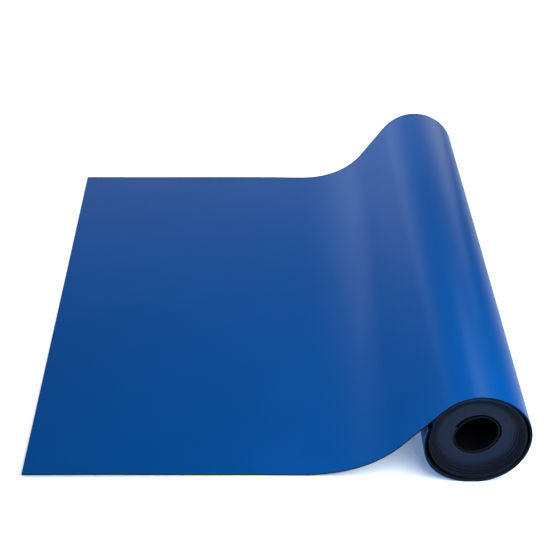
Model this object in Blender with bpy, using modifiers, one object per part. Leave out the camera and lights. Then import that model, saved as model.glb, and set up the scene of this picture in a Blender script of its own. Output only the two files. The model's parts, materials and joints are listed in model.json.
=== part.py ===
"""Partly unrolled roll of sign vinyl: a blue face film on a black backing, wound on a core tube.

X runs from the sheet's free end towards the roll, Y runs along the roll and Z is up.
The origin is the bottom centre of the whole part. Units are metres.
"""
import math

import bmesh
import bpy
from mathutils import Matrix

# Sheet
SHEET_WIDTH = 0.610          # standard 24 in width
FILM_THICKNESS = 0.00045     # blue face film
BACKING_THICKNESS = 0.00125  # black backing
BOND_GAP = 0.0001            # clearance where the film is bonded to the backing
SHEET_THICKNESS = FILM_THICKNESS + BOND_GAP + BACKING_THICKNESS
LAID_LENGTH = 0.200          # part of the laid sheet that stays where it is
MEETING_GAP = 0.0003         # clearance where the laid sheet meets the moving sheet

# Roll
ROLL_RADIUS = 0.0488         # outside of the outermost turn
SIDE_DRIFT = 0.0088          # the roll sits this far towards -Y of the laid sheet
FREE_END_TO_AXIS = 0.4262
TURN_PITCH = 0.0021          # sheet thickness and the gap between turns
WOUND_TURNS = 11
RUNNING_CLEARANCE = 0.0007   # between the outer turn and the turns wound inside it
WOUND_START = math.radians(158)
OUTER_TURN_END = math.radians(-195)

# Ramp that lifts the sheet from the surface to the top of the roll
TOE_RADIUS = 0.105
RAMP_ANGLE = math.radians(51)
ROLL_CONTACT = math.pi / 2 + RAMP_ANGLE

# Core
CORE_BORE_RADIUS = 0.0191
CORE_WALL = 0.0019
CORE_CHAMFER = 0.0003

# Facets
TOE_STEPS = 12
OUTER_TURN_STEPS = 48
STEPS_PER_TURN = 36
CORE_STEPS = 48

FREE_END_X = -(FREE_END_TO_AXIS + ROLL_RADIUS) / 2
MEETING_X = FREE_END_X + LAID_LENGTH
AXIS_X = FREE_END_X + FREE_END_TO_AXIS
AXIS_Z = ROLL_RADIUS
LAID_Y = SIDE_DRIFT / 2
ROLL_Y = -SIDE_DRIFT / 2

BLUE_FILM = {"colour": (0.004, 0.085, 0.36, 1.0), "roughness": 0.42}
BLACK_BACKING = {"colour": (0.012, 0.013, 0.018, 1.0), "roughness": 0.6}
DARK_CORE = {"colour": (0.02, 0.02, 0.024, 1.0), "roughness": 0.7}


def clear_scene():
    for obj in list(bpy.data.objects):
        bpy.data.objects.remove(obj, do_unlink=True)
    for collection in list(bpy.data.collections):
        bpy.data.collections.remove(collection)


def make_material(name, look):
    material = bpy.data.materials.new(name)
    material.use_nodes = True
    shader = material.node_tree.nodes["Principled BSDF"]
    shader.inputs["Base Color"].default_value = look["colour"]
    shader.inputs["Roughness"].default_value = look["roughness"]
    shader.inputs["Metallic"].default_value = 0.0
    return material


def make_pivot(name, location, parent, collection):
    pivot = bpy.data.objects.new(name, None)
    pivot.empty_display_size = ROLL_RADIUS
    pivot.location = location
    pivot.parent = parent
    collection.objects.link(pivot)
    return pivot


def smooth_share(share):
    return share * share * (3 - 2 * share)


def laid_outline(height):
    """Laid sheet at a height above its underside: x, z, and the y of the sheet's centre line."""
    return [(x, height, LAID_Y) for x in (FREE_END_X, MEETING_X)]


def turn_point(radius, angle, axis_z):
    """Point on a turn, with the angle counted up from +X around the roll's axis."""
    return (radius * math.cos(angle), axis_z + radius * math.sin(angle), ROLL_Y)


def lead_outline(height):
    """Moving sheet, from the laid sheet to the end of the outer turn.

    It is flat, then curves up at the toe and drifts sideways, climbs the ramp and goes once round
    the roll. x is measured from the roll's axis and z from the floor.
    """
    toe_radius = TOE_RADIUS - height
    turn_radius = ROLL_RADIUS - SHEET_THICKNESS + height
    contact_x = -turn_radius * math.sin(RAMP_ANGLE)
    contact_z = AXIS_Z + turn_radius * math.cos(RAMP_ANGLE)
    toe_rise = toe_radius * (1 - math.cos(RAMP_ANGLE))
    ramp_run = (contact_z - height - toe_rise) / math.tan(RAMP_ANGLE)
    toe_x = contact_x - ramp_run - toe_radius * math.sin(RAMP_ANGLE)

    points = [(MEETING_X + MEETING_GAP - AXIS_X, height, LAID_Y)]
    for step in range(TOE_STEPS + 1):
        share = step / TOE_STEPS
        slope = RAMP_ANGLE * share
        x = toe_x + toe_radius * math.sin(slope)
        z = height + toe_radius * (1 - math.cos(slope))
        points.append((x, z, LAID_Y - SIDE_DRIFT * smooth_share(share)))
    for step in range(OUTER_TURN_STEPS + 1):
        angle = ROLL_CONTACT + (OUTER_TURN_END - ROLL_CONTACT) * step / OUTER_TURN_STEPS
        points.append(turn_point(turn_radius, angle, AXIS_Z))
    return points


def wound_outline(height):
    """Wound turns around the roll's axis, from the outermost turn inwards."""
    start_radius = ROLL_RADIUS - 2 * SHEET_THICKNESS - RUNNING_CLEARANCE + height
    points = []
    for step in range(WOUND_TURNS * STEPS_PER_TURN + 1):
        turn = step / STEPS_PER_TURN
        angle = WOUND_START - 2 * math.pi * turn
        points.append(turn_point(start_radius - TURN_PITCH * turn, angle, 0))
    return points


def make_ply(name, points, thickness, look, parent, collection):
    """Sweep an outline across the sheet's width and thicken it upwards into one closed ply."""
    bm = bmesh.new()
    near = [bm.verts.new((x, centre_y - SHEET_WIDTH / 2, z)) for x, z, centre_y in points]
    edges = [bm.edges.new(pair) for pair in zip(near, near[1:])]
    swept = bmesh.ops.extrude_edge_only(bm, edges=edges)["geom"]
    far = [item for item in swept if isinstance(item, bmesh.types.BMVert)]
    bmesh.ops.translate(bm, verts=far, vec=(0, SHEET_WIDTH, 0))
    mesh = bpy.data.meshes.new(name)
    bm.to_mesh(mesh)
    bm.free()
    mesh.materials.append(make_material(name, look))
    ply = bpy.data.objects.new(name, mesh)
    ply.parent = parent
    collection.objects.link(ply)
    solidify = ply.modifiers.new("Thickness", "SOLIDIFY")
    solidify.thickness = thickness
    solidify.offset = -1
    solidify.use_even_offset = True
    return ply


def make_sheet(suffix, outline, parent, collection):
    """Lay the face film over the backing along one outline."""
    backing_points = outline(0)
    film_points = outline(BACKING_THICKNESS + BOND_GAP)
    make_ply("backing_" + suffix, backing_points, BACKING_THICKNESS, BLACK_BACKING, parent, collection)
    make_ply("vinyl_" + suffix, film_points, FILM_THICKNESS, BLUE_FILM, parent, collection)


def make_core(parent, collection):
    """Tube turned about the roll's axis, with its end edges broken."""
    inner = CORE_BORE_RADIUS
    outer = CORE_BORE_RADIUS + CORE_WALL
    end = SHEET_WIDTH / 2
    profile = [
        (outer, end - CORE_CHAMFER),
        (outer, CORE_CHAMFER - end),
        (outer - CORE_CHAMFER, -end),
        (inner + CORE_CHAMFER, -end),
        (inner, CORE_CHAMFER - end),
        (inner, end - CORE_CHAMFER),
        (inner + CORE_CHAMFER, end),
        (outer - CORE_CHAMFER, end),
    ]
    bm = bmesh.new()
    verts = [bm.verts.new((radius, 0, along)) for radius, along in profile]
    for pair in zip(verts, verts[1:] + verts[:1]):
        bm.edges.new(pair)
    mesh = bpy.data.meshes.new("core_tube")
    bm.to_mesh(mesh)
    bm.free()
    mesh.materials.append(make_material("core_tube", DARK_CORE))
    core = bpy.data.objects.new("core_tube", mesh)
    core.matrix_local = Matrix.Translation((0, ROLL_Y, 0)) @ Matrix.Rotation(math.radians(90), 4, "X")
    core.parent = parent
    collection.objects.link(core)
    screw = core.modifiers.new("Turn", "SCREW")
    screw.steps = CORE_STEPS
    screw.render_steps = CORE_STEPS
    screw.use_merge_vertices = True
    screw.merge_threshold = 0.00001
    return core


def main():
    clear_scene()
    collection = bpy.data.collections.new("roll_of_sign_vinyl")
    bpy.context.scene.collection.children.link(collection)

    feed_slide = make_pivot("feed_slide", (AXIS_X, 0, 0), None, collection)
    roll_axis = make_pivot("roll_axis", (0, 0, AXIS_Z), feed_slide, collection)

    make_sheet("laid", laid_outline, None, collection)
    make_sheet("lead", lead_outline, feed_slide, collection)
    make_sheet("wound", wound_outline, roll_axis, collection)
    make_core(roll_axis, collection)


main()
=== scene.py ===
"""Roll of sign vinyl, partly unrolled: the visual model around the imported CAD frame. Metres."""
import json
import math

import bpy
import numpy as np
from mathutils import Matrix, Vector, noise


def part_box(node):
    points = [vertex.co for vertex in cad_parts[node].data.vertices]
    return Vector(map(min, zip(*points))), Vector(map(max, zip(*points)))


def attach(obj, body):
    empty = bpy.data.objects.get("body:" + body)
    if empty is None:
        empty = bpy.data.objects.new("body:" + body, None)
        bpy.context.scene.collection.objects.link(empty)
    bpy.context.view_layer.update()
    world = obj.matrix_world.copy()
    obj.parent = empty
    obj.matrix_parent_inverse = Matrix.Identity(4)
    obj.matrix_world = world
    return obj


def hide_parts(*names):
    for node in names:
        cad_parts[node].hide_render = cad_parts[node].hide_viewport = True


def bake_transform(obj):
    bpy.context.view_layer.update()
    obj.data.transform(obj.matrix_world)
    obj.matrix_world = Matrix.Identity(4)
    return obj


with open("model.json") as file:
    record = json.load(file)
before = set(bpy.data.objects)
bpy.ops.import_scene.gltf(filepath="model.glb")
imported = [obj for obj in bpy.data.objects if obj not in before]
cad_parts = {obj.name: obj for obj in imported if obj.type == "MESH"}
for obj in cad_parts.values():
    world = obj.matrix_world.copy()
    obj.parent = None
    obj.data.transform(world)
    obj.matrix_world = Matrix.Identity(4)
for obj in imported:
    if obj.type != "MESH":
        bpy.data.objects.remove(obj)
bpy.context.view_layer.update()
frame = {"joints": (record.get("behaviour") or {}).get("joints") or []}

# ---------------------------------------------------------------- looks

FILM_SPECULAR = 0.023
EDGE_SPECULAR = 0.07         # of the cut edges, the backing and the core
SHEEN_TINT = (0.35, 0.8, 1.0, 1.0)
# Each material mixes a darker and a lighter colour by a noise.
FILM_COLOURS = ((0.0, 0.0465, 0.202, 1.0), (0.0, 0.0495, 0.214, 1.0))
SHEET_EDGE_COLOURS = ((0.004, 0.045, 0.14, 1.0), (0.010, 0.08, 0.21, 1.0))
# The wound turns' film edge: the film edge's colour darkened, a painted shade of the roll's end face.
SHADED_TURNS_EDGE_COLOURS = ((0.004, 0.007, 0.016, 1.0), (0.007, 0.012, 0.028, 1.0))
BACKING_COLOURS = ((0.006, 0.007, 0.011, 1.0), (0.010, 0.012, 0.018, 1.0))
BACKING_EDGE_COLOURS = ((0.0012, 0.0015, 0.004, 1.0), (0.002, 0.0026, 0.006, 1.0))
# Paler colour of the backing's edge: painted light on the inner turns of the roll's end face.
PAINTED_LIGHT_EDGE_COLOURS = ((0.008, 0.0115, 0.026, 1.0), (0.012, 0.017, 0.037, 1.0))
CORE_COLOURS = ((0.001, 0.001, 0.0018, 1.0), (0.0025, 0.0025, 0.004, 1.0))
FULL_PAINTED_LIGHT_RADIUS = 0.0345    # painted light makes the backing's edge paler up to this distance from the roll's axis
NO_PAINTED_LIGHT_RADIUS = 0.0395      # and isn't past this one; the outer turns keep the darker colour as painted shade
CORE_SEAM_PITCH = 0.09       # the seam on the core climbs this far in one turn
CORE_SEAM_EDGE = 0.985       # cosine of the angle from the seam's middle to its side

# ---------------------------------------------------------------- camera, stage and light values

SENSOR_WIDTH = 36.0
LENS = 89.83
LENS_SHIFT = 0.0427
NEAREST_SEEN = 0.05
FARTHEST_SEEN = 50.0
CAMERA_X = -0.0185
CAMERA_BACK = 1.3096         # in front of the middle of the laid sheet
CAMERA_HEIGHT = 0.8283
CAMERA_TILT = 31.19          # degrees below level
FLOOR_SIZE = 30.0
FLOOR_DROP = 0.0002          # so that the floor and the sheet's underside don't share a plane
FLOOR_COLOUR = (0.86, 0.89, 0.93, 1.0)
FLOOR_GLOW = (0.14, 0.22, 0.35, 1.0)
AMBIENT = 0.05               # strength of the surroundings as the object receives them
BACKDROP = 1.1               # and as the camera sees them
# Softboxes: name, place, the point each one faces, its two sides, and its power in watts.
SOFTBOXES = (
    ("key", (0.35, 0.4, 0.75), (0.15, 0.0, 0.0), (0.35, 0.35), 5.2),
    ("fill", (-0.85, 0.4, 0.7), (0.1, 0.0, 0.0), (0.4, 0.4), 5.5),
    ("strip", (0.36, -0.48, 0.38), (0.18, -0.2, 0.05), (0.6, 0.35), 5.0),
    ("back", (0.05, 1.5, 0.32), (0.0, 0.0, 0.0), (1.8, 0.55), 12.5),
    ("left", (-2.2, 0.0, 0.35), (0.0, 0.0, 0.05), (2.4, 0.7), 40.0),
)

# ---------------------------------------------------------------- sizes taken from the frame

laid_low, laid_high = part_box("vinyl_laid")
_, backing_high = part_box("backing_laid")
wound_low, wound_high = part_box("backing_wound")
core_low, core_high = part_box("core_tube")
roll_joint = next(joint for joint in frame["joints"] if joint["name"] == "roll_turn")

AXIS_X, _, AXIS_Z = roll_joint["pos_m"]
END_TRIM = 0.0032            # the free end is cut this far short of the CAD's
FREE_END_X = laid_low.x + END_TRIM
SHEET_WIDTH = laid_high.y - laid_low.y
SHEET_THICKNESS = laid_high.z
FILM_BASE = laid_low.z
BACKING_THICKNESS = backing_high.z
LAID_Y = (laid_low.y + laid_high.y) / 2
ROLL_Y = (wound_low.y + wound_high.y) / 2
ROLL_RADIUS = AXIS_Z
CORE_RADIUS = (core_high.z - core_low.z) / 2

# ---------------------------------------------------------------- the sheet's shape

# Angles round the roll are measured from +X towards +Z. The ramp starts a little earlier, and is
# less steep, at the near edge than at the far one.
NEAR_TOE_RADIUS = 0.130
FAR_TOE_RADIUS = 0.095
NEAR_RAMP_ANGLE = math.radians(47.0)
FAR_RAMP_ANGLE = math.radians(54.0)
OUTER_TURN_END = math.radians(-195)
TURN_PITCH = 0.00206         # each wound turn lies this far inside the one before it
WOUND_TURNS = 11
WOUND_START = math.radians(158)
RUNNING_CLEARANCE = 0.0011   # so that the turns can turn inside the outer one, which isn't round
# Places where a turn is out of round: angle, spread and height. The outer turn is pressed in under
# the ramp, stands out on the right, and has sprung open at the lower left, off the turns inside it.
OUTER_TURN_BUMPS = (
    (math.radians(142), math.radians(33), -0.0010),
    (math.radians(20), math.radians(33), 0.0013),
    (math.radians(-140), math.radians(32), 0.0030),
)
WOUND_BUMPS = (
    (math.radians(142), math.radians(33), -0.0003),
    (math.radians(20), math.radians(33), 0.0003),
    (math.radians(-140), math.radians(40), 0.0016),
)
BORE_OVAL = 0.0014           # the bore's radius is up to this much more or less than round
BORE_OVAL_ANGLE = math.radians(40)
DISH_DEPTH = 0.008           # the inner turns have slid this far towards +Y
DISH_WIDTH = 0.0105          # radial width of the sloping turns round the dish
SLIP = 0.0003                # the turns' edges are uneven by up to this
CORE_WALL = 0.0019
CORE_RIM = 0.0006            # rounding of the core's end edges
END_INSET = 0.0009           # the film stops this far short of the backing at its free end
FAR_INSET = 0.0036           # and this far short of it along the far edge
BACKING_SWELL = 0.0002       # the wound backing is this much thicker, so that the turns sit close
EDGE_LIFT = 0.00035          # the laid sheet's near and far edges lift by up to twice this
FLAT_LIFT = 0.00018          # and the whole of it by up to twice this
LIFT_FADE = 0.05             # length over which that unevenness dies away before the ramp

FLAT_STEPS = 60
TOE_STEPS = 36
RAMP_STEPS = 8
TURN_STEPS = 150
WOUND_STEPS_PER_TURN = 90
ACROSS_STEPS = 48
WOUND_ACROSS_STEPS = 6
CORE_STEPS = 120
CORNER_STEPS = 4
SHARP_ANGLE = math.radians(40)


def smooth_share(share):
    """A share from 0 to 1, eased at both ends."""
    share = np.clip(share, 0.0, 1.0)
    return share * share * (3.0 - 2.0 * share)


def wave(value, seed):
    """Smooth repeatable noise from -1 to 1 along one coordinate."""
    return noise.noise(Vector((value, seed, 0.37)))


def bumps_at(angle, bumps):
    """Sum of the bumps at an angle round the roll."""
    total = 0.0
    for centre, spread, height in bumps:
        away = math.remainder(angle - centre, 2.0 * math.pi)
        total += height * math.exp(-((away / spread) ** 2))
    return total


def shaped_radius(radius, angle, bumps=()):
    """A radius in the roll, with its bumps, which fade towards the core, and its bore oval."""
    outward = (radius - CORE_RADIUS) / (ROLL_RADIUS - CORE_RADIUS)
    oval = BORE_OVAL * (1.0 - outward) ** 2 * math.cos(2.0 * (angle - BORE_OVAL_ANGLE))
    return radius + bumps_at(angle, bumps) * outward + oval


def above_floor(radius, angle, under):
    """The radius, shortened where the sheet's outer face, this far outside it, would pass the floor."""
    down = -math.sin(angle)
    if down <= 0.0:
        return radius
    return min(radius, (AXIS_Z - under * down) / down)


def wound_radius(turn, height):
    """Radius of the wound turns before the roll is pressed out of round."""
    return ROLL_RADIUS - 2.0 * SHEET_THICKNESS - RUNNING_CLEARANCE + height - TURN_PITCH * turn


def dish_at(radius):
    """How far the turns at a radius have slid along the roll."""
    return DISH_DEPTH * min(max((wound_radius(0.0, 0.0) - radius) / DISH_WIDTH, 0.0), 1.0)


def laid_lift(x, across):
    """Slight unevenness of the laid sheet, so that its edges aren't ruled lines."""
    near_edge = (1.0 - across) ** 6
    far_edge = across ** 6
    lift = EDGE_LIFT * (1.0 + wave(x * 9.0, seed=3.1)) * near_edge
    lift += EDGE_LIFT * (1.0 + wave(x * 7.0, seed=8.4)) * far_edge
    return lift + FLAT_LIFT * (1.0 + wave(x * 5.0 + across * 2.0, seed=5.5))


def lead_line(across, height):
    """Points (x, y, z) along the sheet at a share of its width, at a height above its underside."""
    toe_radius = NEAR_TOE_RADIUS + (FAR_TOE_RADIUS - NEAR_TOE_RADIUS) * across - height
    ramp_angle = NEAR_RAMP_ANGLE + (FAR_RAMP_ANGLE - NEAR_RAMP_ANGLE) * across
    turn_radius = ROLL_RADIUS - SHEET_THICKNESS + height
    contact_radius = shaped_radius(turn_radius, math.pi / 2 + ramp_angle, OUTER_TURN_BUMPS)
    contact_x = AXIS_X - contact_radius * math.sin(ramp_angle)
    contact_z = AXIS_Z + contact_radius * math.cos(ramp_angle)
    toe_top_z = height + toe_radius * (1.0 - math.cos(ramp_angle))
    toe_top_x = contact_x - (contact_z - toe_top_z) / math.tan(ramp_angle)
    toe_x = toe_top_x - toe_radius * math.sin(ramp_angle)
    offset = (across - 0.5) * SHEET_WIDTH
    drift = ROLL_Y - LAID_Y

    points = []
    for step in range(FLAT_STEPS):
        x = FREE_END_X + (toe_x - FREE_END_X) * step / FLAT_STEPS
        fade = smooth_share((toe_x - x) / LIFT_FADE)
        points.append((x, LAID_Y + offset, height + laid_lift(x, across) * fade))
    for step in range(TOE_STEPS):
        share = step / TOE_STEPS
        slope = ramp_angle * share
        x = toe_x + toe_radius * math.sin(slope)
        z = height + toe_radius * (1.0 - math.cos(slope))
        points.append((x, LAID_Y + offset + drift * smooth_share(share), z))
    for step in range(RAMP_STEPS):
        share = step / RAMP_STEPS
        x = toe_top_x + (contact_x - toe_top_x) * share
        z = toe_top_z + (contact_z - toe_top_z) * share
        points.append((x, ROLL_Y + offset, z))
    start = math.pi / 2 + ramp_angle
    for step in range(TURN_STEPS + 1):
        angle = start + (OUTER_TURN_END - start) * step / TURN_STEPS
        radius = shaped_radius(turn_radius, angle, OUTER_TURN_BUMPS)
        radius = above_floor(radius, angle, SHEET_THICKNESS - height)
        x = AXIS_X + radius * math.cos(angle)
        points.append((x, ROLL_Y + offset, AXIS_Z + radius * math.sin(angle)))
    return points


def film_lead_line(across, height):
    """The sheet's line for the film, which leaves the backing bare along the end and the far edge."""
    points = lead_line(across * (1.0 - FAR_INSET / SHEET_WIDTH), height)
    x, y, z = points[0]
    points[0] = (x + END_INSET, y, z)
    return points


def wound_line(across, height):
    """Points (x, y, z) along the wound turns, from the outermost one inwards."""
    offset = (across - 0.5) * SHEET_WIDTH
    points = []
    for step in range(WOUND_TURNS * WOUND_STEPS_PER_TURN + 1):
        turn = step / WOUND_STEPS_PER_TURN
        angle = WOUND_START - 2.0 * math.pi * turn
        radius = shaped_radius(wound_radius(turn, height), angle, WOUND_BUMPS)
        slid = dish_at(wound_radius(turn, 0.0)) + SLIP * wave(turn * 1.3, seed=6.6)
        x = AXIS_X + radius * math.cos(angle)
        points.append((x, ROLL_Y + offset + slid, AXIS_Z + radius * math.sin(angle)))
    return points


def line_length(points):
    return sum(math.dist(a, b) for a, b in zip(points, points[1:]))


def add_object(name, data):
    obj = bpy.data.objects.new(name, data)
    bpy.context.scene.collection.objects.link(obj)
    return obj


def ply_object(name, line, base, thickness, across_steps, face_material, edge_material):
    """One closed ply between two heights: face and underside grids, joined round their edges."""
    shares = [step / across_steps for step in range(across_steps + 1)]
    sheets = [
        np.array([line(share, height) for share in shares])
        for height in (base, base + thickness)
    ]
    rows, columns = sheets[0].shape[:2]
    low = np.arange(rows * columns).reshape(rows, columns)
    high = low + rows * columns

    def quads(a, b, c, d):
        return np.stack([a, b, c, d], axis=-1).reshape(-1, 4)

    surface = [
        quads(high[:-1, :-1], high[:-1, 1:], high[1:, 1:], high[1:, :-1]),
        quads(low[:-1, :-1], low[1:, :-1], low[1:, 1:], low[:-1, 1:]),
    ]
    rims = [
        quads(low[0, :-1], low[0, 1:], high[0, 1:], high[0, :-1]),
        quads(low[-1, 1:], low[-1, :-1], high[-1, :-1], high[-1, 1:]),
        quads(low[1:, 0], low[:-1, 0], high[:-1, 0], high[1:, 0]),
        quads(low[:-1, -1], low[1:, -1], high[1:, -1], high[:-1, -1]),
    ]
    faces = np.concatenate(surface + rims)
    mesh = bpy.data.meshes.new(name)
    mesh.from_pydata(np.concatenate(sheets).reshape(-1, 3).tolist(), [], faces.tolist())
    mesh.materials.append(face_material)
    mesh.materials.append(edge_material)
    surface_count = sum(len(part) for part in surface)
    mesh.polygons.foreach_set("material_index", [int(i >= surface_count) for i in range(len(faces))])
    mesh.update()
    mesh.shade_smooth()
    mesh.set_sharp_from_angle(angle=SHARP_ANGLE)
    return add_object(name, mesh)


def core_object(name, material):
    """Tube with rounded ends and a slightly oval bore."""
    near = ROLL_Y - SHEET_WIDTH / 2 + DISH_DEPTH  # level with the inner turns
    far = core_high.y
    inner = CORE_RADIUS - CORE_WALL
    corners = (
        (CORE_RADIUS - CORE_RIM, far - CORE_RIM, 0.0),
        (inner + CORE_RIM, far - CORE_RIM, 90.0),
        (inner + CORE_RIM, near + CORE_RIM, 180.0),
        (CORE_RADIUS - CORE_RIM, near + CORE_RIM, 270.0),
    )
    profile = []
    for radius, y, start in corners:
        for step in range(CORNER_STEPS + 1):
            turn = math.radians(start + 90.0 * step / CORNER_STEPS)
            profile.append((radius + CORE_RIM * math.cos(turn), y + CORE_RIM * math.sin(turn)))
    verts, faces = [], []
    count = len(profile)
    for step in range(CORE_STEPS):
        angle = 2.0 * math.pi * step / CORE_STEPS
        for radius, y in profile:
            shaped = shaped_radius(radius, angle)
            verts.append((AXIS_X + shaped * math.cos(angle), y, AXIS_Z + shaped * math.sin(angle)))
        here, after = step * count, (step + 1) % CORE_STEPS * count
        for i in range(count):
            j = (i + 1) % count
            faces.append((here + i, after + i, after + j, here + j))
    mesh = bpy.data.meshes.new(name)
    mesh.from_pydata(verts, [], faces)
    mesh.materials.append(material)
    mesh.update()
    mesh.shade_smooth()
    return add_object(name, mesh)


# ---------------------------------------------------------------- materials


class Nodes:
    """A Principled material whose nodes are added one line at a time."""

    def __init__(self, name):
        self.material = bpy.data.materials.new(name)
        self.material.use_nodes = True
        self.tree = self.material.node_tree
        self.shader = self.tree.nodes["Principled BSDF"]
        self.place = self.tree.nodes.new("ShaderNodeTexCoord").outputs["Object"]

    def add(self, kind, inputs=None, **settings):
        node = self.tree.nodes.new(kind)
        for key, value in settings.items():
            setattr(node, key, value)
        for key, value in (inputs or {}).items():
            self.put(value, node.inputs[key])
        return node

    def put(self, value, socket):
        if isinstance(value, bpy.types.NodeSocket):
            self.tree.links.new(value, socket)
        else:
            socket.default_value = value

    def noise(self, scale, detail=2.0, roughness=0.5):
        inputs = {"Scale": scale, "Detail": detail, "Roughness": roughness, "Vector": self.place}
        return self.add("ShaderNodeTexNoise", inputs).outputs["Fac"]

    def span(self, value, low, high, low_in=0.0, high_in=1.0):
        """The value taken from one range to another, and kept within it."""
        inputs = {"Value": value, "From Min": low_in, "From Max": high_in, "To Min": low, "To Max": high}
        return self.add("ShaderNodeMapRange", inputs).outputs["Result"]

    def mix(self, share, first, second):
        """Blend of two colours. A Mix node's colours are inputs 6 and 7 and output 2."""
        node = self.add("ShaderNodeMix", data_type="RGBA")
        self.put(share, node.inputs[0])
        self.put(first, node.inputs[6])
        self.put(second, node.inputs[7])
        return node.outputs[2]

    def bump(self, height, distance, strength, normal=None):
        inputs = {"Height": height, "Distance": distance, "Strength": strength}
        if normal is not None:
            inputs["Normal"] = normal
        return self.add("ShaderNodeBump", inputs).outputs["Normal"]

    def off_axis(self):
        """Place measured from the roll's axis, with nothing along it."""
        axis = {0: self.place, 1: (AXIS_X, 0.0, AXIS_Z)}
        away = self.add("ShaderNodeVectorMath", axis, operation="SUBTRACT").outputs["Vector"]
        flat = {0: away, 1: (1.0, 0.0, 1.0)}
        return self.add("ShaderNodeVectorMath", flat, operation="MULTIPLY").outputs["Vector"]

    def math(self, operation, first, second=0.0):
        return self.add("ShaderNodeMath", {0: first, 1: second}, operation=operation).outputs[0]

    def set(self, **inputs):
        for key, value in inputs.items():
            self.put(value, self.shader.inputs[key.replace("_", " ")])
        return self.material


def film_material():
    """Matte blue film: fine calendered grain, and a faint unevenness in colour and sheen."""
    n = Nodes("blue_film")
    cloud = n.noise(scale=6.0, detail=3.0)
    grain = n.noise(scale=1400.0)
    ripple = n.noise(scale=18.0)
    colour = n.mix(n.span(cloud, 0.0, 1.0, low_in=0.35, high_in=0.65), *FILM_COLOURS)
    normal = n.bump(grain, distance=0.00002, strength=0.4)
    normal = n.bump(ripple, distance=0.0004, strength=0.2, normal=normal)
    n.set(Specular_IOR_Level=FILM_SPECULAR, Specular_Tint=SHEEN_TINT)
    return n.set(Base_Color=colour, Roughness=n.span(grain, 0.29, 0.35), Normal=normal)


def film_edge_material(name, colours):
    """Cut edge of the film, with small specks where the blade has dragged."""
    n = Nodes(name)
    speck = n.noise(scale=900.0)
    n.set(Specular_IOR_Level=EDGE_SPECULAR, Specular_Tint=SHEEN_TINT)
    colour = n.mix(speck, *colours)
    return n.set(Base_Color=colour, Roughness=0.5, Normal=n.bump(speck, distance=0.00003, strength=0.4))


def backing_material():
    """Black flexible backing with a fine pebbled grain."""
    n = Nodes("black_backing")
    pebble = n.add("ShaderNodeTexVoronoi", {"Vector": n.place, "Scale": 700.0}).outputs["Distance"]
    cloud = n.noise(scale=9.0, detail=3.0)
    colour = n.mix(cloud, *BACKING_COLOURS)
    n.set(Specular_IOR_Level=EDGE_SPECULAR)
    roughness = n.span(cloud, 0.55, 0.7)
    normal = n.bump(pebble, distance=0.00004, strength=0.4)
    return n.set(Base_Color=colour, Roughness=roughness, Normal=normal)


def backing_edge_material():
    """Cut edge of the backing: navy black, painted paler on the inner turns as painted light, and darker
    on the outer ones as painted shade.
    """
    n = Nodes("black_backing_edge")
    speck = n.noise(scale=500.0, detail=3.0)
    patch = n.noise(scale=22.0)
    # Painted light and shade: the edge is mixed paler near the axis and stays darker on the outer turns.
    radius = n.add("ShaderNodeVectorMath", {0: n.off_axis()}, operation="LENGTH").outputs["Value"]
    painted_light_share = n.span(radius, 1.0, 0.0, low_in=FULL_PAINTED_LIGHT_RADIUS, high_in=NO_PAINTED_LIGHT_RADIUS)
    dark = n.mix(speck, *BACKING_EDGE_COLOURS)
    light = n.mix(speck, *PAINTED_LIGHT_EDGE_COLOURS)
    patchy_painted_light = n.math("MULTIPLY", painted_light_share, n.span(patch, 0.8, 1.0, low_in=0.4, high_in=0.62))
    colour = n.mix(patchy_painted_light, dark, light)
    n.set(Specular_IOR_Level=EDGE_SPECULAR, Specular_Tint=SHEEN_TINT)
    return n.set(Base_Color=colour, Roughness=0.45, Normal=n.bump(speck, distance=0.00005, strength=0.5))


def core_material():
    """Black spirally wound board tube: fibres, and the faint seam of the ply that climbs round it."""
    n = Nodes("dark_core")
    fibre = n.noise(scale=260.0, detail=4.0, roughness=0.65)
    split = n.add("ShaderNodeSeparateXYZ", {"Vector": n.off_axis()})
    round_it = n.math("ARCTAN2", split.outputs["Z"], split.outputs["X"])
    along = n.add("ShaderNodeSeparateXYZ", {"Vector": n.place}).outputs["Y"]
    climb = n.math("ADD", round_it, n.math("MULTIPLY", along, 2.0 * math.pi / CORE_SEAM_PITCH))
    groove = n.span(n.math("COSINE", climb), 1.0, 0.0, low_in=CORE_SEAM_EDGE)
    colour = n.mix(fibre, *CORE_COLOURS)
    normal = n.bump(fibre, distance=0.0001, strength=0.5)
    normal = n.bump(groove, distance=0.0002, strength=0.6, normal=normal)
    n.set(Specular_IOR_Level=EDGE_SPECULAR, Specular_Tint=SHEEN_TINT)
    return n.set(Base_Color=colour, Roughness=n.span(fibre, 0.35, 0.5), Normal=normal)


# ---------------------------------------------------------------- camera, stage and light


def make_camera():
    """Camera in front of the near edge, above it and looking down along the roll."""
    data = bpy.data.cameras.new("camera")
    data.sensor_width = SENSOR_WIDTH
    data.lens = LENS
    data.shift_x = LENS_SHIFT
    data.clip_start = NEAREST_SEEN
    data.clip_end = FARTHEST_SEEN
    camera = add_object("camera", data)
    camera.location = (CAMERA_X, LAID_Y - CAMERA_BACK, CAMERA_HEIGHT)
    camera.rotation_euler = (math.radians(90.0 - CAMERA_TILT), 0.0, 0.0)
    bpy.context.scene.camera = camera


def softbox(name, location, target, size, power):
    """Rectangular area light that faces its target and isn't seen by the camera."""
    data = bpy.data.lights.new(name, "AREA")
    data.shape = "RECTANGLE"
    data.size, data.size_y = size
    data.energy = power
    light = add_object(name, data)
    light.location = location
    light.rotation_mode = "QUATERNION"
    light.rotation_quaternion = (Vector(target) - Vector(location)).to_track_quat("-Z", "Y")
    light.visible_camera = False


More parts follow.
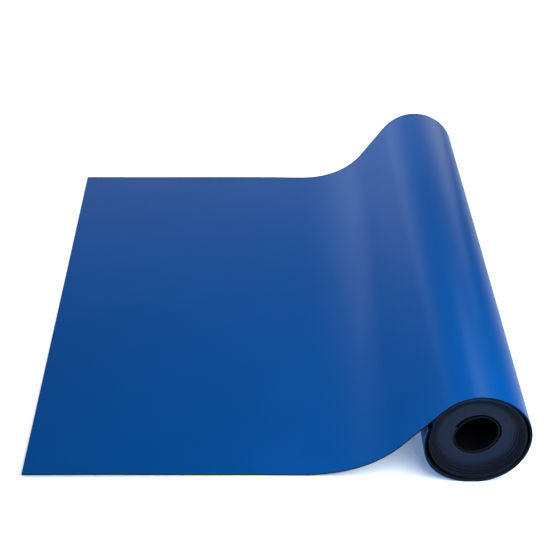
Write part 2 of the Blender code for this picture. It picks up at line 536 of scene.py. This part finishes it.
def make_floor():
    """Pale matte floor with a bluish glow."""
    bpy.ops.mesh.primitive_plane_add(size=FLOOR_SIZE, location=(0.0, 0.0, -FLOOR_DROP))
    floor = bpy.context.active_object
    floor.name = "floor"
    n = Nodes("floor")
    n.set(Base_Color=FLOOR_COLOUR, Roughness=0.9, Specular_IOR_Level=0.0)
    n.set(Emission_Color=FLOOR_GLOW, Emission_Strength=1.0)
    floor.data.materials.append(n.material)


def make_surroundings():
    """White surroundings that the camera sees brighter than the object does."""
    world = bpy.data.worlds.new("world")
    bpy.context.scene.world = world
    world.use_nodes = True
    tree = world.node_tree
    background = tree.nodes["Background"]
    path = tree.nodes.new("ShaderNodeLightPath")
    strength = tree.nodes.new("ShaderNodeMapRange")
    strength.inputs["To Min"].default_value = AMBIENT
    strength.inputs["To Max"].default_value = BACKDROP
    tree.links.new(path.outputs["Is Camera Ray"], strength.inputs["Value"])
    tree.links.new(strength.outputs["Result"], background.inputs["Strength"])
    background.inputs["Color"].default_value = (1.0, 1.0, 1.0, 1.0)


make_camera()
make_floor()
make_surroundings()
for settings in SOFTBOXES:
    softbox(*settings)
bpy.context.scene.view_settings.view_transform = "Standard"

# ---------------------------------------------------------------- pieces

film = film_material()
backing = backing_material()
backing_edge = backing_edge_material()
sheet_edge = film_edge_material("blue_film_edge", SHEET_EDGE_COLOURS)
# The wound turns' film edges get a darkened copy of the edge colour: painted shade on the end face.
shaded_turns_edge = film_edge_material("shaded_blue_film_wound_edge", SHADED_TURNS_EDGE_COLOURS)
film_thickness = SHEET_THICKNESS - FILM_BASE

vinyl_sheet = ply_object(
    "vinyl_sheet", film_lead_line, FILM_BASE, film_thickness, ACROSS_STEPS, film, sheet_edge
)
backing_sheet = ply_object(
    "backing_sheet", lead_line, 0.0, BACKING_THICKNESS, ACROSS_STEPS, backing, backing_edge
)
sheet_length = line_length(lead_line(0.5, 0.0))
for piece, nodes in (
    (vinyl_sheet, ("vinyl_laid", "vinyl_lead")),
    (backing_sheet, ("backing_laid", "backing_lead")),
):
    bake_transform(piece)
    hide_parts(*nodes)

vinyl_turns = ply_object(
    "vinyl_turns", wound_line, FILM_BASE, film_thickness, WOUND_ACROSS_STEPS, film, shaded_turns_edge
)
swollen_thickness = BACKING_THICKNESS + BACKING_SWELL
backing_turns = ply_object(
    "backing_turns", wound_line, -BACKING_SWELL, swollen_thickness,
    WOUND_ACROSS_STEPS, backing, backing_edge,
)
core_sleeve = core_object("core_sleeve", core_material())
for piece, node, slot in (
    (vinyl_turns, "vinyl_wound", "blue_film"),
    (backing_turns, "backing_wound", "black_backing"),
    (core_sleeve, "core_tube", "dark_core"),
):
    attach(piece, "wound_roll")
    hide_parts(node)
wound_length = line_length(wound_line(0.5, 0.0))
